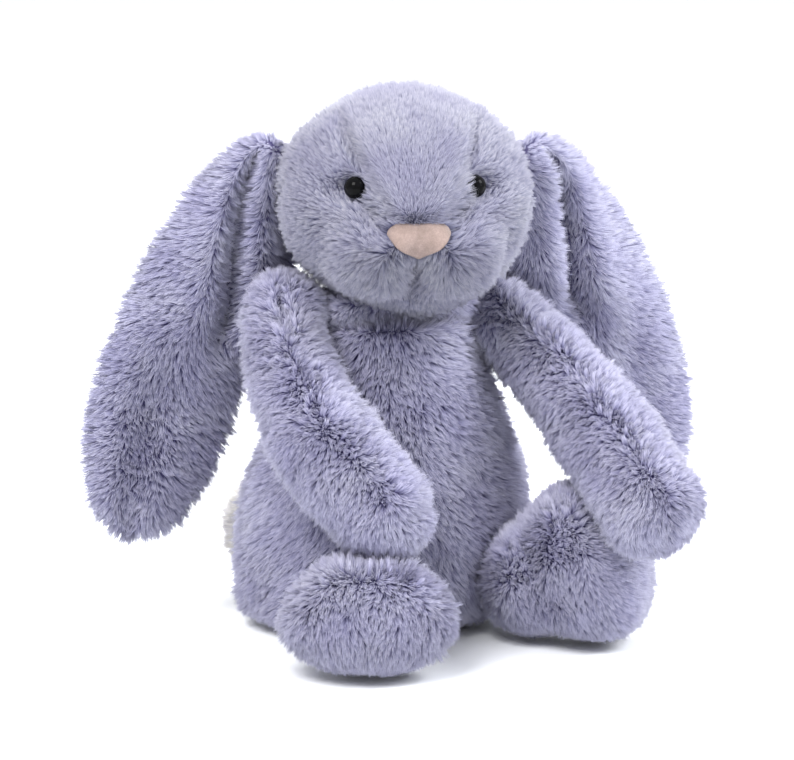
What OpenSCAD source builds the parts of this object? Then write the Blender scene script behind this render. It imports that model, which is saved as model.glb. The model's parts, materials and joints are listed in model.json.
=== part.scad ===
// Sitting plush bunny with lop ears: sewn pile covers over stuffing, in millimetres.
// It faces -Y with +Z up. The origin is the middle of the flat seat panel's underside.

/* [Body] */
// Half the width of the hips
hip_half_w = 59; // [54:1:60]
// Half the depth of the hips, front to back
hip_half_d = 48; // [44:1:49]
// Height of the neck opening above the seat
neck_z = 129; // [127:0.5:130]
// Radius of the flat seat panel
seat_r = 38; // [34:1:38]

/* [Cover] */
// Thickness of the backing and the pressed pile
cover_t = 3; // [2:0.2:3.4]
// Gap left between neighbouring pieces of one body
seam_gap = 0.25; // [0.2:0.05:0.4]

/* [Head] */
// Half the width of the head
head_rx = 47; // [44:0.5:48]
// Half the depth of the head, without the muzzle
head_ry = 44; // [42:0.5:45]
// Half the height of the head
head_rz = 43; // [41:0.5:43.5]
// How far the muzzle stands out of the head
muzzle = 10; // [7:0.5:12]
// Turn of the head to the bunny's right
head_turn = 15; // [10:1:18]
// Radius of the glossy eye
eye_r = 4.6; // [4:0.1:5]
// Half the spacing of the eyes
eye_x = 23; // [21:0.5:25]

/* [Ears] */
// Half the width of an ear at its broadest
ear_half_w = 28; // [23:0.5:29]
// Thickness of one ear panel
ear_t = 4.2; // [3:0.2:4.6]

/* [Arms] */
// Radius of an arm at the shoulder
shoulder_r = 15.5; // [13:0.5:16]
// Radius of a paw
paw_r = 19; // [17:0.5:19.5]

/* [Legs] */
// Radius of a leg where it is sewn on
hip_r = 20; // [17:0.5:20.5]
// Half the width of a foot
foot_half_w = 32; // [28:0.5:33]

/* [Tail] */
// Radius of the tail
tail_r = 21; // [18:0.5:22]

/* [Hidden] */

plush = "#9a9bc0";
plush_face = "#a6a7c8";
suede = "#d9b4a8";
black = "#101014";
cream = "#f2f0e6";
wadding = "#f4f4f0";
calico = "#e6e0d0";
pellets = "#d8d8d8";

// How far under the pile face the stuffing starts
stuffing_in = cover_t + 1.4;
// How far the body leans forward at the neck, and slumps to its left at the waist
lean = 16;
slump = 2.5;
// Degrees left open at each side of a lengthwise seam
seam_turn = 0.4;
// Outline of the torso from the seat panel's rim to the neck: radius as a part of the hips, height
torso_outline = [
    [0.67, 1.4], [0.91, 5.5], [0.99, 19], [1.00, 38], [0.95, 60],
    [0.85, 80], [0.71, 100], [0.55, 116], [0.40, neck_z - 2.5], [0.25, neck_z]
];
// The seat panel is an oval inside the torso's lower rim
seat_t = 2.4;
seat_half_d = torso_outline[0][0] * hip_half_d - 1.6;
seat_facets = 64;

// The bean bag in the seat: its size, the calico's thickness and the height of the beans in it
bean_bag_r = 34;
bean_bag_z = seat_t + seam_gap;
bean_bag_top = 24;
bean_bag_t = 0.8;
bag_neck_r = 1.5;
bean_level = 17;
// The small bag low in each foot, and the well that keeps the stuffing open under it
foot_bag_r = 12;
foot_bag_z = [10, 18.5];
foot_well_r = foot_bag_r - 5;

// Stitches of the centre back seam
stitch_r = 0.4;
stitch_w = 4;

// The tail is a ball cut flat where it is sewn to the back, with a hole for its stuffing
tail_at = [-19, 63, 29];
tail_flat = 14;
tail_hole_r = 6;

// The gathered ring where the head is sewn on
neck_at = [1, -19, 133];
neck_ring_r = 24;
neck_cord_r = 3.2;

head_at = [2, -22, 178];
// The gusset between the face halves runs from over the nose to the back of the crown
gusset_front = -8;
gusset_back = 98;
gusset_nose_lean = 12;
gusset_spread = 22;
// The head is a ball that closes at the ears: the greatest lean of its panels
side_lean = 89.6;

// The suede nose, in degrees of turn and lean about the head's middle
nose_top = -6;
nose_bottom = -26;
nose_lean = 17.5;

// The glossy eyes: height above the head's middle, shank and washer
eye_z = 7;
eye_up = 1.8;
eye_shank = 9;
shank_r = 1.2;
washer_r = 5.5;
washer_t = 1.6;
eye_dir = unit([eye_x / head_rx, -sqrt(1 - (eye_x / head_rx)^2 - (eye_z / head_rz)^2), eye_z / head_rz]);

// Middle lines of the limbs and ears, root to tip, as cubic curves
arm_left_line = [[45, -16, 126], [56, -39, 113], [65, -72, 92], [70.5, -110, 62]];
arm_right_line = [[-45, -15, 132], [-56, -32, 118], [-52, -58, 90], [-31, -77, 65]];
leg_left_line = [[48, -57, 27], [51, -60, 28], [59, -66, 32], [65, -70, 33]];
leg_right_line = [[-33, -73, 24], [-35, -79, 24], [-38, -85, 24], [-40, -90, 23.5]];
ear_left_line = [[51.9, -27, 198], [76, -10, 172], [108, 2, 118], [125, 0, 42]];
ear_right_line = [[-44.8, -4, 201.1], [-62, 8, 169.5], [-83, 14, 108.5], [-105, 8, 42]];
arm_radii = [shoulder_r, shoulder_r, shoulder_r + 1, paw_r - 1, paw_r, paw_r];
leg_left_tall = [hip_r, hip_r + 1, 28, 31, 31];
leg_right_tall = [hip_r, hip_r + 0.5, 22, 22.5, 22.5];
leg_wide = [hip_r, hip_r + 2, foot_half_w - 3, foot_half_w, foot_half_w];
paw_tip = paw_r - 1;
foot_tip = 20;
// The two halves of a limb's cover, in degrees round it from the side
side_a = [-89.5, 89.5];
side_b = [90.5, 269.5];
// Where along its length an ear is broadest, how far its edges curl and the gap between its panels
ear_broad = 0.72;
ear_curl = 5;
ear_gap = 0.12;

// ---- curves and surfaces ----
function unit(v) = v / norm(v);
function bezier(p, t) =
    (1 - t)^3 * p[0] + 3 * t * (1 - t)^2 * p[1] + 3 * t^2 * (1 - t) * p[2] + t^3 * p[3];
function bezier_dir(p, t) =
    unit((1 - t)^2 * (p[1] - p[0]) + 2 * t * (1 - t) * (p[2] - p[1]) + t^2 * (p[3] - p[2]));
// A smooth curve through the values of a list, for u from 0 to 1
function smooth(list, u) =
    let (
        last = len(list) - 1,
        i = min(floor(u * last), last - 1),
        t = u * last - i,
        b = list[i],
        c = list[i + 1],
        a = i > 0 ? list[i - 1] : 2 * b - c,
        d = i + 2 <= last ? list[i + 2] : 2 * c - b
    )
    b + t / 2 * ((c - a) + t * ((2 * a - 5 * b + 4 * c - d) + t * (3 * b - 3 * c + d - a)));

// The torso's face: u runs from the seat to the neck, v is the angle round it, off the distance out
function torso_face(u, v, off) =
    let (
        p = smooth(torso_outline, u),
        e = 0.01,
        step = smooth(torso_outline, min(u + e, 1)) - smooth(torso_outline, max(u - e, 0)),
        run = unit([step[0] * hip_half_w, step[1]]),
        out = off * run[1],
        z = p[1] - off * run[0]
    )
    [
        (p[0] * hip_half_w + out) * cos(v) + slump * sin(180 * max(0, z) / neck_z),
        (p[0] * hip_half_d + out) * sin(v) - lean * (z / neck_z)^2,
        z
    ];

// A stuffed limb: u is 0 to 1 on the round root, 1 to 2 along it and 2 to 3 over the tip
function limb_face(line, wide, tall, tip, u, v, off) =
    let (
        t = min(max(u - 1, 0), 1),
        lat = u < 1 ? 90 * (1 - u) : u > 2 ? 90 * (u - 2) : 0,
        along = bezier_dir(line, t),
        side = unit(cross(along, [0, 0, 1])),
        over = cross(side, along),
        a = smooth(wide, t) + off,
        b = smooth(tall, t) + off,
        cap = (u < 1 ? -smooth(wide, 0) - off : tip + off) * sin(lat)
    )
    bezier(line, t) + cap * along + cos(lat) * (a * cos(v) * side + b * sin(v) * over);

// The head about its own middle: t turns from the face (0) over the top (90), b leans to the sides
function head_face(t, b, off) =
    let (
        dir = [sin(b), -cos(b) * cos(t), cos(b) * sin(t)],
        snout = muzzle * exp(-((t + 16) / 27)^2 - (b / 30)^2)
    )
    [dir[0] * (head_rx + off), dir[1] * (head_ry + off + snout), dir[2] * (head_rz + off)];

// One face of an ear: u runs root to tip, s from edge to edge, off is the distance from the middle
function ear_half_width(u) =
    u < ear_broad
        ? ear_half_w * (0.26 + 0.74 * sin(90 * u / ear_broad))
        : ear_half_w * sqrt(1 - ((u - ear_broad) / (1.005 - ear_broad))^2);
function ear_face(line, curl, u, s, off) =
    let (
        along = bezier_dir(line, u),
        side = unit(cross(along, [0, 1, 0])),
        over = cross(side, along),
        thick = off * (0.35 + 0.65 * sqrt(1 - s * s))
    )
    bezier(line, u) + side * ear_half_width(u) * s + over * (curl * (s * s - 0.4) * sin(180 * u) + thick);

// ---- solids made from a face ----
// A curved panel between two distances from a face f(u, v, off)
module panel(f, u_range, v_range, nu, nv, outside, inside) {
    row = nv + 1;
    half = (nu + 1) * row;
    points = [
        for (off = [outside, inside])
            for (i = [0:nu])
                for (j = [0:nv])
                    f(u_range[0] + (u_range[1] - u_range[0]) * i / nu,
                      v_range[0] + (v_range[1] - v_range[0]) * j / nv, off)
    ];
    function quad(a, b, c, d) = [[a, b, c], [a, c, d]];
    faces = [
        for (i = [0:nu - 1])
            for (j = [0:nv - 1])
                let (a = i * row + j)
                each concat(
                    quad(a, a + row, a + row + 1, a + 1),
                    quad(half + a, half + a + 1, half + a + row + 1, half + a + row)
                ),
        for (i = [0:nu - 1])
            let (a = i * row, b = i * row + nv)
            each concat(
                quad(a, half + a, half + a + row, a + row),
                quad(b, b + row, half + b + row, half + b)
            ),
        for (j = [0:nv - 1])
            let (a = j, b = nu * row + j)
            each concat(quad(a, a + 1, half + a + 1, half + a), quad(b, half + b, half + b + 1, b + 1))
    ];
    polyhedron(points, faces, convexity = 4);
}

// A closed solid inside a face f(u, v, off), with flat ends where the face has an opening
module plug(f, u_range, nu, nv, off) {
    rings = [
        for (i = [0:nu])
            [for (j = [0:nv - 1]) f(u_range[0] + (u_range[1] - u_range[0]) * i / nu, 360 * j / nv, off)]
    ];
    function middle(ring) = [for (k = [0:2]) [for (p = ring) p[k]] * [for (p = ring) 1 / nv]];
    start = (nu + 1) * nv;
    points = concat([for (ring = rings) each ring], [middle(rings[0]), middle(rings[nu])]);
    faces = [
        for (i = [0:nu - 1])
            for (j = [0:nv - 1])
                let (k = (j + 1) % nv, a = i * nv + j, b = i * nv + k)
                each [[a, a + nv, b + nv], [a, b + nv, b]],
        for (j = [0:nv - 1])
            let (k = (j + 1) % nv)
            each [[start, j, k], [start + 1, nu * nv + k, nu * nv + j]]
    ];
    polyhedron(points, faces, convexity = 4);
}

module at_head() {
    translate(head_at) rotate([0, 0, -head_turn]) children();
}

// ---- torso ----
module torso_cover(v_range, nv) {
    torso = function(u, v, off) torso_face(u, v, off);
    panel(torso, [0, 1], v_range, 12, nv, 0, -cover_t);
}

module torso_front() {
    color(plush) torso_cover([180 + seam_turn, 360 - seam_turn], 12);
}

module torso_back_left() {
    color(plush) torso_cover([seam_turn, 90 - seam_turn], 6);
}

module torso_back_right() {
    color(plush) torso_cover([90 + seam_turn, 180 - seam_turn], 6);
}

module seat_panel() {
    oval = [
        for (k = [1:seat_facets])
            let (a = 360 * k / seat_facets) [seat_r * cos(a), seat_half_d * sin(a)]
    ];
    color(plush) linear_extrude(seat_t) polygon(oval);
}

module torso_stuffing() {
    torso = function(u, v, off) torso_face(u, v, off);
    color(wadding) difference() {
        plug(torso, [0.16, 1], 11, 16, -stuffing_in);
        cylinder(h = bean_bag_top + seam_gap, r = bean_bag_r + seam_gap, $fn = 48);
    }
}

// The bag is a round pouch; its filling neck at the top is tied and left open by 3 mm
module seat_bean_bag() {
    color(calico) difference() {
        pouch(bean_bag_r, bean_bag_z, bean_bag_top, 0);
        pouch(bean_bag_r, bean_bag_z, bean_bag_top, bean_bag_t);
        translate([0, 0, bean_bag_top - 2 * bean_bag_t])
            cylinder(h = 4 * bean_bag_t, r = bag_neck_r, $fn = 24);
    }
}

// The beans lie as one level heap in the lower part of the bag
module seat_beans() {
    color(pellets) intersection() {
        pouch(bean_bag_r, bean_bag_z, bean_bag_top, bean_bag_t + seam_gap);
        cylinder(h = bean_level, r = bean_bag_r, $fn = 48);
    }
}

// A round pouch from bottom to top, with a rounded edge, smaller all round by inset
module pouch(r, bottom, top, inset) {
    mid = (bottom + top) / 2;
    edge = (top - bottom) / 2;
    translate([0, 0, mid]) rotate_extrude($fn = 48)
        intersection() {
            union() {
                translate([0, -edge + inset]) square([r - edge, 2 * (edge - inset)]);
                translate([r - edge, 0]) circle(r = edge - inset, $fn = 32);
            }
            translate([0, -edge]) square([r, 2 * edge]);
        }
}

// A row of short stitches that closes the centre back seam
module closing_stitches() {
    color(plush) for (u = [0.44:0.03:0.68])
        translate(torso_face(u, 90, stitch_r + 0.3))
            rotate([0, 90, 0]) cylinder(h = stitch_w, r = stitch_r, center = true, $fn = 16);
}

// ---- tail ----
module tail_ball(inset) {
    translate(tail_at) difference() {
        sphere(r = tail_r - inset, $fn = 48);
        translate([-tail_r, -2 * tail_r - tail_flat + inset, -tail_r]) cube(2 * tail_r);
    }
}

module tail_cover() {
    color(cream) difference() {
        tail_ball(0);
        tail_ball(cover_t);
        translate(tail_at) rotate([90, 0, 0]) cylinder(h = tail_r, r = tail_hole_r, $fn = 32);
    }
}

module tail_stuffing() {
    color(wadding) tail_ball(stuffing_in);
}

// ---- neck ----
module neck_seam() {
    color(plush) translate(neck_at)
        rotate_extrude($fn = 48) translate([neck_ring_r, 0]) circle(r = neck_cord_r, $fn = 24);
}

// ---- head ----
// Lean of the seam between the gusset and the face at each turn t: narrow at the nose, wide on top
function gusset_edge(t) = gusset_nose_lean + gusset_spread * sin(min(90, max(0, (t - gusset_front) * 1.25)));

module forehead_gusset() {
    strip = function(t, s, off) head_face(t, s * (gusset_edge(t) - seam_turn), off);
    color(plush_face) at_head() difference() {
        panel(strip, [gusset_front, gusset_back], [-1, 1], 10, 8, 0, -cover_t);
        shank_holes();
    }
}

// A face half runs from the gusset seam, or the chin seam under it, out to the ear
module face_half(side) {
    half = function(t, s, off)
        let (inner = t < gusset_front ? seam_turn : gusset_edge(t))
        head_face(t, side * (inner + (side_lean - inner) * s), off);
    mirror_order = side > 0 ? [0, 1] : [1, 0];
    color(plush_face) at_head() difference() {
        union() {
            panel(half, [gusset_front, gusset_back], mirror_order, 8, 7, 0, -cover_t);
            panel(half, [-88, gusset_front - 0.01], mirror_order, 6, 7, 0, -cover_t);
        }
        shank_holes();
    }
}

module head_back(side) {
    half = function(t, s, off) head_face(t, side * (seam_turn + (side_lean - seam_turn) * s), off);
    color(plush_face) at_head()
        panel(half, [gusset_back + 0.6, 271], side > 0 ? [0, 1] : [1, 0], 12, 7, 0, -cover_t);
}

module face_left() {
    face_half(1);
}

module face_right() {
    face_half(-1);
}

module head_back_left() {
    head_back(1);
}

module head_back_right() {
    head_back(-1);
}

module head_stuffing() {
    ball = function(u, v, off) head_face(-v, u, off);
    color(wadding) at_head() difference() {
        plug(ball, [-90, 90], 12, 18, -stuffing_in);
        for (side = [-1, 1])
            at_eye(side) translate([0, 0, -eye_shank]) cylinder(h = eye_shank, r = washer_r + 0.5, $fn = 32);
    }
}

// The suede nose: a rounded triangle laid over the front of the muzzle, point down
module nose_patch() {
    triangle = function(t, s, off)
        let (k = (t - nose_bottom) / (nose_top - nose_bottom))
        head_face(t, s * nose_lean * pow(max(k, 0), 0.6) * sqrt(max(0, 1 - pow(max(k, 0), 9))), off);
    color(suede) at_head() panel(triangle, [nose_bottom, nose_top], [-1, 1], 9, 8, 2, 0.6);
}

// ---- eyes ----
module at_eye(side) {
    at = [eye_dir[0] * head_rx * side, eye_dir[1] * head_ry, eye_dir[2] * head_rz];
    out = unit([at[0] / head_rx^2, at[1] / head_ry^2, at[2] / head_rz^2]);
    translate(at) rotate([0, acos(out[2]), atan2(out[1], out[0])]) children();
}

module shank_holes() {
    for (side = [-1, 1])
        at_eye(side) translate([0, 0, -cover_t * 2]) cylinder(h = cover_t * 3, r = shank_r + 0.15, $fn = 24);
}

module eye(side) {
    color(black) at_head() at_eye(side) {
        translate([0, 0, eye_up]) intersection() {
            translate([0, 0, -0.35 * eye_r]) sphere(r = eye_r, $fn = 40);
            cylinder(h = 2 * eye_r, r = 2 * eye_r, $fn = 40);
        }
        translate([0, 0, -eye_shank + 0.5]) cylinder(h = eye_shank - 0.5 + eye_up, r = shank_r, $fn = 24);
    }
}

module eye_left() {
    eye(1);
}

module eye_right() {
    eye(-1);
}

module eye_washer(side) {
    color(cream) at_head() at_eye(side) translate([0, 0, -cover_t - seam_gap - washer_t]) difference() {
        cylinder(h = washer_t, r = washer_r, $fn = 40);
        translate([0, 0, -1]) cylinder(h = washer_t + 2, r = shank_r + 0.1, $fn = 24);
    }
}

module eye_washer_left() {
    eye_washer(1);
}

module eye_washer_right() {
    eye_washer(-1);
}

// ---- ears ----
// The outer panel is the pile face that shows; the inner one lines it
module ear_panel(line, curl, outside, inside) {
    cloth = function(u, s, off) ear_face(line, curl, u, s, off);
    color(plush) panel(cloth, [0, 1], [-1, 1], 13, 6, outside, inside);
}
module ear_left_outer() {
    ear_panel(ear_left_line, ear_curl, ear_t, ear_gap);
}

module ear_left_inner() {
    ear_panel(ear_left_line, ear_curl, -ear_gap, -ear_t);
}

module ear_right_outer() {
    ear_panel(ear_right_line, ear_curl, ear_t, ear_gap);
}

module ear_right_inner() {
    ear_panel(ear_right_line, ear_curl, -ear_gap, -ear_t);
}

// ---- limbs ----
// Each limb is a cover in two halves, sewn along the top and the underside, over its stuffing
module limb_half(line, wide, tall, tip, v_range) {
    limb = function(u, v, off) limb_face(line, wide, tall, tip, u, -v, off);
    panel(limb, [0, 3], v_range, 12, 8, 0, -cover_t);
}

module limb_stuffing(line, wide, tall, tip) {
    limb = function(u, v, off) limb_face(line, wide, tall, tip, u, -v, off);
    plug(limb, [0, 3], 9, 12, -stuffing_in);
}

module arm_left_outer() {
    color(plush) limb_half(arm_left_line, arm_radii, arm_radii, paw_tip, side_b);
}

module arm_left_inner() {
    color(plush) limb_half(arm_left_line, arm_radii, arm_radii, paw_tip, side_a);
}

module arm_left_stuffing() {
    color(wadding) limb_stuffing(arm_left_line, arm_radii, arm_radii, paw_tip);
}

module arm_right_outer() {
    color(plush) limb_half(arm_right_line, arm_radii, arm_radii, paw_tip, side_a);
}

module arm_right_inner() {
    color(plush) limb_half(arm_right_line, arm_radii, arm_radii, paw_tip, side_b);
}

module arm_right_stuffing() {
    color(wadding) limb_stuffing(arm_right_line, arm_radii, arm_radii, paw_tip);
}

// The foot's beans lie in a small pouch low in the foot, and the stuffing is cut away under it
module foot_bag(line, grow) {
    foot = bezier(line, 1);
    translate([foot[0], foot[1], 0]) pouch(foot_bag_r + grow, foot_bag_z[0] - grow, foot_bag_z[1] + grow, 0);
}

module foot_bag_well(line) {
    foot = bezier(line, 1);
    translate([foot[0], foot[1], 0]) cylinder(h = foot_bag_z[1] - 4, r = foot_well_r, $fn = 48);
}

module leg_stuffing(line, tall) {
    difference() {
        limb_stuffing(line, leg_wide, tall, foot_tip);
        foot_bag(line, seam_gap);
        foot_bag_well(line);
    }
}

module leg_left_outer() {
    color(plush) limb_half(leg_left_line, leg_wide, leg_left_tall, foot_tip, side_b);
}

module leg_left_inner() {
    color(plush) limb_half(leg_left_line, leg_wide, leg_left_tall, foot_tip, side_a);
}

module leg_left_stuffing() {
    color(wadding) leg_stuffing(leg_left_line, leg_left_tall);
}

module leg_left_bean_bag() {
    color(calico) foot_bag(leg_left_line, 0);
}

module leg_right_outer() {
    color(plush) limb_half(leg_right_line, leg_wide, leg_right_tall, foot_tip, side_a);
}

module leg_right_inner() {
    color(plush) limb_half(leg_right_line, leg_wide, leg_right_tall, foot_tip, side_b);
}

module leg_right_stuffing() {
    color(wadding) leg_stuffing(leg_right_line, leg_right_tall);
}

module leg_right_bean_bag() {
    color(calico) foot_bag(leg_right_line, 0);
}

torso_front();
torso_back_left();
torso_back_right();
seat_panel();
torso_stuffing();
seat_bean_bag();
seat_beans();
closing_stitches();
tail_cover();
tail_stuffing();
neck_seam();
forehead_gusset();
face_left();
face_right();
head_back_left();
head_back_right();
head_stuffing();
nose_patch();
eye_left();
eye_right();
eye_washer_left();
eye_washer_right();
ear_left_outer();
ear_left_inner();
ear_right_outer();
ear_right_inner();
arm_left_outer();
arm_left_inner();
arm_left_stuffing();
arm_right_outer();
arm_right_inner();
arm_right_stuffing();
leg_left_outer();
leg_left_inner();
leg_left_stuffing();
leg_left_bean_bag();
leg_right_outer();
leg_right_inner();
leg_right_stuffing();
leg_right_bean_bag();
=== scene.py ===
"""The looks of a sitting plush bunny: sewn covers with real pile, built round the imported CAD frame."""
import math

import bpy
import numpy as np
from mathutils import Matrix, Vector
from mathutils.kdtree import KDTree
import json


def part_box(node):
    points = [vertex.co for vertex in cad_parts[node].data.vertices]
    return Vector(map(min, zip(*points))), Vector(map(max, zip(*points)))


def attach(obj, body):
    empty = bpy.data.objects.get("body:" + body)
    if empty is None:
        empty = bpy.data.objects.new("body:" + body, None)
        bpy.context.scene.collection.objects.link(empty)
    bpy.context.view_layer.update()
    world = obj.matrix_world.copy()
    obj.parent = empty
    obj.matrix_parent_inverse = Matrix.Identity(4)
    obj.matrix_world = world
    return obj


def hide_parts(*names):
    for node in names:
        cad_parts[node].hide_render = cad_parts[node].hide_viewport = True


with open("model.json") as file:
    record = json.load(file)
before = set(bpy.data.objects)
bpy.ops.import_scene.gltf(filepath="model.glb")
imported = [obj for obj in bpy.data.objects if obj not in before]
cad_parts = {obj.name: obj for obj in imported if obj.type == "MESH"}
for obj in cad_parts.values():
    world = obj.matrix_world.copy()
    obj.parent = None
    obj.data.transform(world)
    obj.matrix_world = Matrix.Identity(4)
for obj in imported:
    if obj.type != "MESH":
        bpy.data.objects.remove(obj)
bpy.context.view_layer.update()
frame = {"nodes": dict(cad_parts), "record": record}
MM = 0.001
JOINTS = {joint["name"]: joint for joint in frame["record"]["behaviour"]["joints"]}

# ---- sizes shared with the CAD frame, in millimetres ----
HIP_HALF_W, HIP_HALF_D, NECK_Z = 59, 48, 129
LEAN, SLUMP = 16, 2.5
TORSO_OUTLINE = np.array([
    [0.67, 1.4], [0.91, 5.5], [0.99, 19], [1.00, 38], [0.95, 60],
    [0.85, 80], [0.71, 100], [0.59, 116], [0.48, 126.5], [0.30, NECK_Z],
])
HEAD_AT = np.array([2.0, -22.0, 178.0])
HEAD_TURN = math.radians(-15)
HEAD_RX, HEAD_RY, HEAD_RZ = 47, 44, 43
MUZZLE = 10
EYE_T, EYE_B = 9.5, 29.3
NOSE_T, NOSE_DROP, NOSE_HALF_W = -16.8, 9.7, 13.0
EAR_HALF_W = 28
EAR_BROAD = 0.72
PAW_R, SHOULDER_R = 19, 15.5
HIP_R, FOOT_HALF_W, FOOT_TIP = 20, 32, 20
FOOT_LEFT_HALF_H, FOOT_RIGHT_HALF_H = 32, 22.5
TAIL_R = 21
TAIL_AT = np.array([-19.0, 63.0, 29.0])

# ---- sizes that only the covers have, in millimetres ----
# How far the parts of the face and head stand out
MOUND, CHEEK_PUFF, JAW_FULL, SIDE_FULL, BROW_FULL, NOSE_BRIDGE = 8.5, 3.0, 5.5, 1.8, 1.5, 2.4
# How far the eyes, the gusset seams, the sides of the nose and the chin seam are drawn in
EYE_DIMPLE, GUSSET_CREASE, NOSE_VALLEY, CHIN_CREASE = 7.0, 2.2, 3.6, 4.5
# The head's angles: the end of the gusset, and the sides, where its grids stop short of the poles
CROWN_T, POLE, WADDING_POLE = 98, 89.5, 84
# Half an ear's thickness, how deep its fold and its hollow are, and how far its lobes and waves stand out
EAR_HALF_T, EAR_FOLD, EAR_CUP, EAR_LOBE, EAR_ARCH, EAR_WAVE = 4.6, 8.5, 3.0, 3.0, 5, 1.8
# How deep the torso's seams are, and how far its belly stands out
SIDE_SEAM, BACK_SEAM, BELLY = 1.3, 0.8, 3
# How deep the right paw's crease and the left sole's seam are, and where along u the crease lies
PAW_CREASE, SOLE_SEAM, PAW_CREASE_AT = 2.2, 3.0, 2.45
# The neck: the middle, width and depth of the ring, and the radius and height of the cloth tube round it
NECK_AT = np.array([1.0, -16.0, 133.0])
NECK_HALF_W, NECK_HALF_D, NECK_TUBE_R, NECK_TUBE_HALF_H = 31, 12, 5.5, 6.5
# Where the pile of the neck and of the tail spreads from
NECK_PILE_FROM = np.array([1.0, -19.0, 150.0])
TAIL_PILE_FROM = np.array([-17.0, 45.0, 29.0])
# How far under the pile's own surface the backing cloths and the head's wadding lie
BACKING_DROP, EAR_BACKING_DROP, NECK_BACKING_DROP, WADDING_DROP = 2.4, 1.8, 2.0, 4.0
# The washers follow the cloth that the dimples draw in
WASHER_SUNK = 5.5
# How far above the floor the cloths and the pile end
CLOTH_CLEARANCE, PILE_CLEARANCE = 0.3, 0.25


def pivot(joint):
    """Where a joint turns, in millimetres."""
    return np.array(JOINTS[joint]["pos_m"]) / MM


# Middle lines from each pivot, as the four points of a cubic curve
ARM_LEFT_LINE = pivot("arm_left_raise") + [[0, 0, 0], [11, -23, -13], [20, -56, -34], [25.5, -94, -64]]
ARM_RIGHT_LINE = pivot("arm_right_raise") + [[0, 0, 0], [-11, -17, -14], [-7, -43, -42], [14, -62, -67]]
LEG_LEFT_LINE = pivot("leg_left_splay") + [[0, 0, -2], [3, -3, 0], [11, -9, 4], [17, -13, 6]]
LEG_RIGHT_LINE = pivot("leg_right_splay") + [[0, 0, 0], [-2, -6, 0], [-5, -12, 0], [-7, -17, -0.5]]
EAR_LEFT_LINE = pivot("ear_left_lift") + [[0, 0, 0], [24.1, 17, -26], [56.1, 29, -80], [73.1, 27, -156]]
EAR_RIGHT_LINE = pivot("ear_right_lift") + [
    [0, 0, 0], [-17.2, 12, -31.6], [-38.2, 18, -92.6], [-60.2, 12, -159.1]
]

# Half widths and half heights of the limbs, from root to tip
ARM_RADII = [SHOULDER_R, SHOULDER_R, SHOULDER_R + 1, PAW_R - 1, PAW_R, PAW_R]
WIDE_ARM_RADII = [SHOULDER_R, SHOULDER_R, SHOULDER_R + 1, PAW_R + 1, PAW_R + 2, PAW_R + 1.5]
LEG_WIDE = [HIP_R, HIP_R + 2, FOOT_HALF_W - 3, FOOT_HALF_W, FOOT_HALF_W]
LEG_LEFT_WIDE = [HIP_R + 4, HIP_R + 6, FOOT_HALF_W - 2, FOOT_HALF_W, FOOT_HALF_W]
LEG_LEFT_TALL = [HIP_R + 4, HIP_R + 6, FOOT_LEFT_HALF_H - 2, FOOT_LEFT_HALF_H, FOOT_LEFT_HALF_H]
LEG_RIGHT_TALL = [HIP_R, HIP_R + 0.5, FOOT_RIGHT_HALF_H - 0.5, FOOT_RIGHT_HALF_H, FOOT_RIGHT_HALF_H]


# ---- curves and fields ----
def unit(v):
    """Vectors brought to length 1."""
    return v / np.maximum(np.linalg.norm(v, axis=-1, keepdims=True), 1e-9)


def sind(a):
    """Sine of degrees."""
    return np.sin(np.radians(a))


def cosd(a):
    """Cosine of degrees."""
    return np.cos(np.radians(a))


def bell(x):
    """1 at 0, falling smoothly to nothing past about 2."""
    return np.exp(-np.square(x))


def fade(x, low, high):
    """0 below low, 1 above high, smooth between."""
    t = np.clip((x - low) / (high - low), 0, 1)
    return t * t * (3 - 2 * t)


def smooth(values, u):
    """A smooth curve through evenly spaced values, for u from 0 to 1."""
    values = np.asarray(values, float)
    padded = np.concatenate([[2 * values[0] - values[1]], values, [2 * values[-1] - values[-2]]])
    last = len(values) - 1
    i = np.minimum(np.floor(u * last), last - 1).astype(int)
    t = u * last - i
    if values.ndim > 1:
        t = t[..., None]
    a, b, c, d = (padded[i + k] for k in range(4))
    return b + t / 2 * ((c - a) + t * ((2 * a - 5 * b + 4 * c - d) + t * (3 * b - 3 * c + d - a)))


def bezier(line, t):
    """Points along a cubic curve, for t from 0 to 1."""
    t = t[..., None]
    p = np.asarray(line, float)
    return (1 - t) ** 3 * p[0] + 3 * t * (1 - t) ** 2 * p[1] + 3 * t * t * (1 - t) * p[2] + t ** 3 * p[3]


def bezier_dir(line, t):
    """The directions along a cubic curve."""
    t = t[..., None]
    p = np.asarray(line, float)
    return unit((1 - t) ** 2 * (p[1] - p[0]) + 2 * t * (1 - t) * (p[2] - p[1]) + t * t * (p[3] - p[2]))


def ripple(points, size, seed):
    """Smooth noise between about -1 and 1, whose lumps are about size across."""
    rng = np.random.default_rng(seed)
    waves = 9
    total = 0
    for _ in range(waves):
        wave = unit(rng.normal(size=3)) * 2 * math.pi / size * rng.uniform(0.6, 1.3)
        total = total + np.sin(points @ wave + rng.uniform(0, 2 * math.pi))
    return total / math.sqrt(waves)


def turned(points, angle):
    """Points turned about +Z."""
    c, s = math.cos(angle), math.sin(angle)
    return points @ np.array([[c, s, 0], [-s, c, 0], [0, 0, 1]])


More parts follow.
